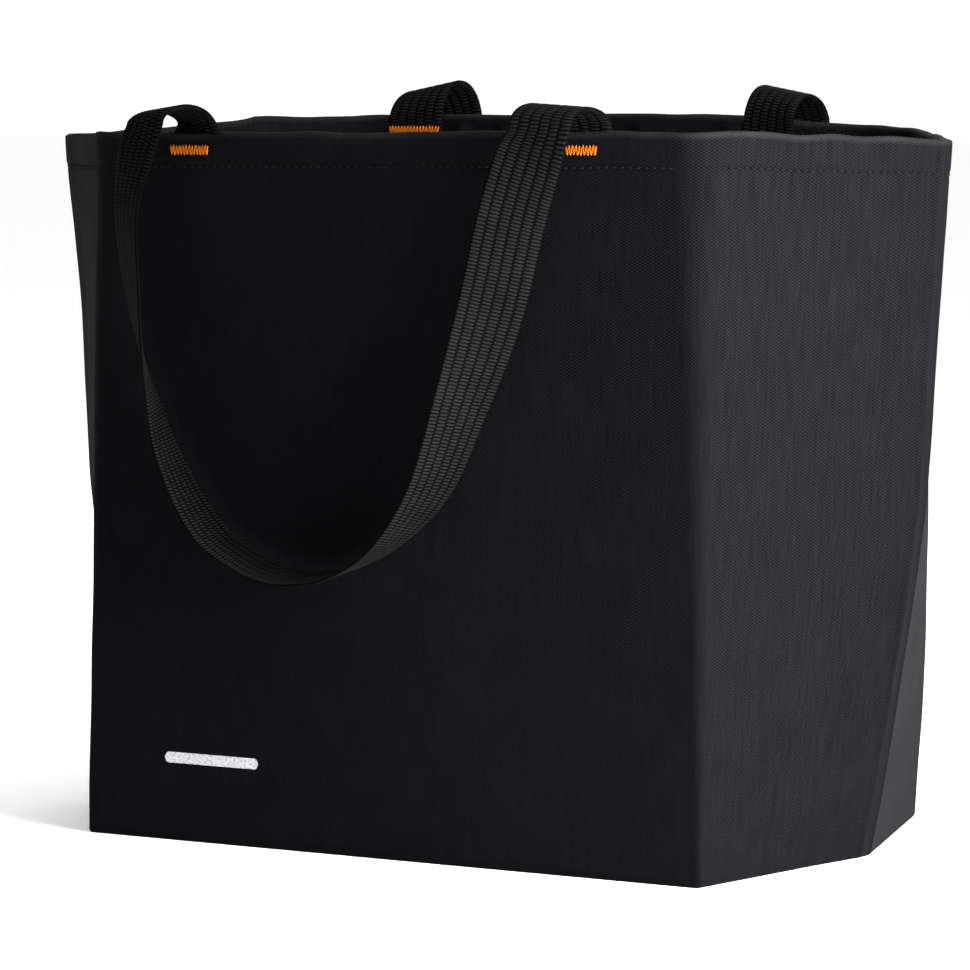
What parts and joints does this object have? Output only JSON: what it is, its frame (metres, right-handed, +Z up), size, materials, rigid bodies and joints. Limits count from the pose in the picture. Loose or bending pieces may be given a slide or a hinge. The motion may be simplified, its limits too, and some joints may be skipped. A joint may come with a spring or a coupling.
{
  "type": "foldable tote bag",
  "caption": "Stiffened foldable tote bag with creased ends, two-leaf folding base and two webbing handles hung over the rim.",
  "frame": {"origin": "centre of the bounding box on the floor", "axes": "+X along the front, to the right seen from the front; the front faces -Y; +Z up"},
  "size_m": [0.4498, 0.2742, 0.3389],
  "materials": {
    "cloth": "coarse black oxford cloth",
    "board": "dark stiffener sheet",
    "lining": "thin smooth black lining",
    "thread": "black sewing thread",
    "webbing": "ribbed black webbing",
    "tack_thread": "orange bar tack thread",
    "print": "plain light grey print"
  },
  "bodies": {
    "back_wall": {"back_outer_cloth": "cloth", "back_board": "board", "back_lining": "lining", "back_hem": "cloth", "back_hem_stitching": "thread", "back_handle_left_end": "webbing", "back_handle_right_end": "webbing", "back_left_tack": "tack_thread", "back_right_tack": "tack_thread", "back_left_inside_tack": "tack_thread", "back_right_inside_tack": "tack_thread", "right_floor_cloth": "cloth", "left_floor_cloth": "cloth", "right_floor_lining": "lining", "left_floor_lining": "lining"},
    "front_wall": {"front_outer_cloth": "cloth", "front_board": "board", "front_lining": "lining", "front_hem": "cloth", "front_hem_stitching": "thread", "front_handle_left_end": "webbing", "front_handle_right_end": "webbing", "front_left_tack": "tack_thread", "front_right_tack": "tack_thread", "front_left_inside_tack": "tack_thread", "front_right_inside_tack": "tack_thread", "printed_mark": "print"},
    "right_back_gusset": {"right_back_outer_cloth": "cloth", "right_back_board": "board", "right_back_lining": "lining", "right_back_hem": "cloth", "right_back_hem_stitching": "thread"},
    "right_front_gusset": {"right_front_outer_cloth": "cloth", "right_front_board": "board", "right_front_lining": "lining", "right_front_hem": "cloth", "right_front_hem_stitching": "thread", "right_end_seam": "cloth"},
    "left_back_gusset": {"left_back_outer_cloth": "cloth", "left_back_board": "board", "left_back_lining": "lining", "left_back_hem": "cloth", "left_back_hem_stitching": "thread"},
    "left_front_gusset": {"left_front_outer_cloth": "cloth", "left_front_board": "board", "left_front_lining": "lining", "left_front_hem": "cloth", "left_front_hem_stitching": "thread", "left_end_seam": "cloth"},
    "base_back_leaf": {"back_base_cloth": "cloth", "back_base_board": "board", "back_base_lining": "lining"},
    "back_handle": {"back_handle_webbing": "webbing"},
    "base_front_leaf": {"front_base_cloth": "cloth", "front_base_board": "board", "front_base_lining": "lining"},
    "front_handle": {"front_handle_webbing": "webbing"}
  },
  "joints": [
    {"name": "fold", "type": "hinge", "parent": "back_wall", "child": "right_back_gusset", "pos_m": [0.15134, 0.112, 0], "axis": [0, 0, -1], "range_deg": [0, 113], "deforming": ["right_floor_cloth", "left_floor_cloth", "right_floor_lining", "left_floor_lining"]},
    {"name": "right_end_crease", "type": "hinge", "parent": "right_back_gusset", "child": "right_front_gusset", "pos_m": [0.225, 0, 0], "axis": [0, 0, 1], "range_deg": [0, 226]},
    {"name": "front_right_corner", "type": "hinge", "parent": "right_front_gusset", "child": "front_wall", "pos_m": [0.15134, -0.112, 0], "axis": [0, 0, -1], "range_deg": [0, 113]},
    {"name": "front_left_corner", "type": "hinge", "parent": "front_wall", "child": "left_front_gusset", "pos_m": [-0.15134, -0.112, 0], "axis": [0, 0, -1], "range_deg": [0, 113]},
    {"name": "back_left_corner", "type": "hinge", "parent": "back_wall", "child": "left_back_gusset", "pos_m": [-0.15134, 0.112, 0], "axis": [0, 0, 1], "range_deg": [0, 113]},
    {"name": "base_back_fold", "type": "hinge", "parent": "back_wall", "child": "base_back_leaf", "pos_m": [0, 0.112, 0.003], "axis": [-1, 0, 0], "range_deg": [0, 85.2]},
    {"name": "base_front_fold", "type": "hinge", "parent": "front_wall", "child": "base_front_leaf", "pos_m": [0, -0.112, 0.003], "axis": [1, 0, 0], "range_deg": [0, 85.2]},
    {"name": "front_handle_swing", "type": "hinge", "parent": "front_wall", "child": "front_handle", "pos_m": [0, -0.123, 0.3265], "axis": [-1, 0, 0], "range_deg": [0, 178]},
    {"name": "back_handle_swing", "type": "hinge", "parent": "back_wall", "child": "back_handle", "pos_m": [0, 0.123, 0.3265], "axis": [1, 0, 0], "range_deg": [0, 178]}
  ],
  "couplings": [
    {"joint": "right_end_crease", "follows": "fold", "ratio": 2},
    {"joint": "front_right_corner", "follows": "fold", "ratio": 1},
    {"joint": "front_left_corner", "follows": "fold", "ratio": 1},
    {"joint": "back_left_corner", "follows": "fold", "ratio": 1},
    {"joint": "base_back_fold", "follows": "fold", "ratio": 0.75221},
    {"joint": "base_front_fold", "follows": "fold", "ratio": 0.75221}
  ]
}
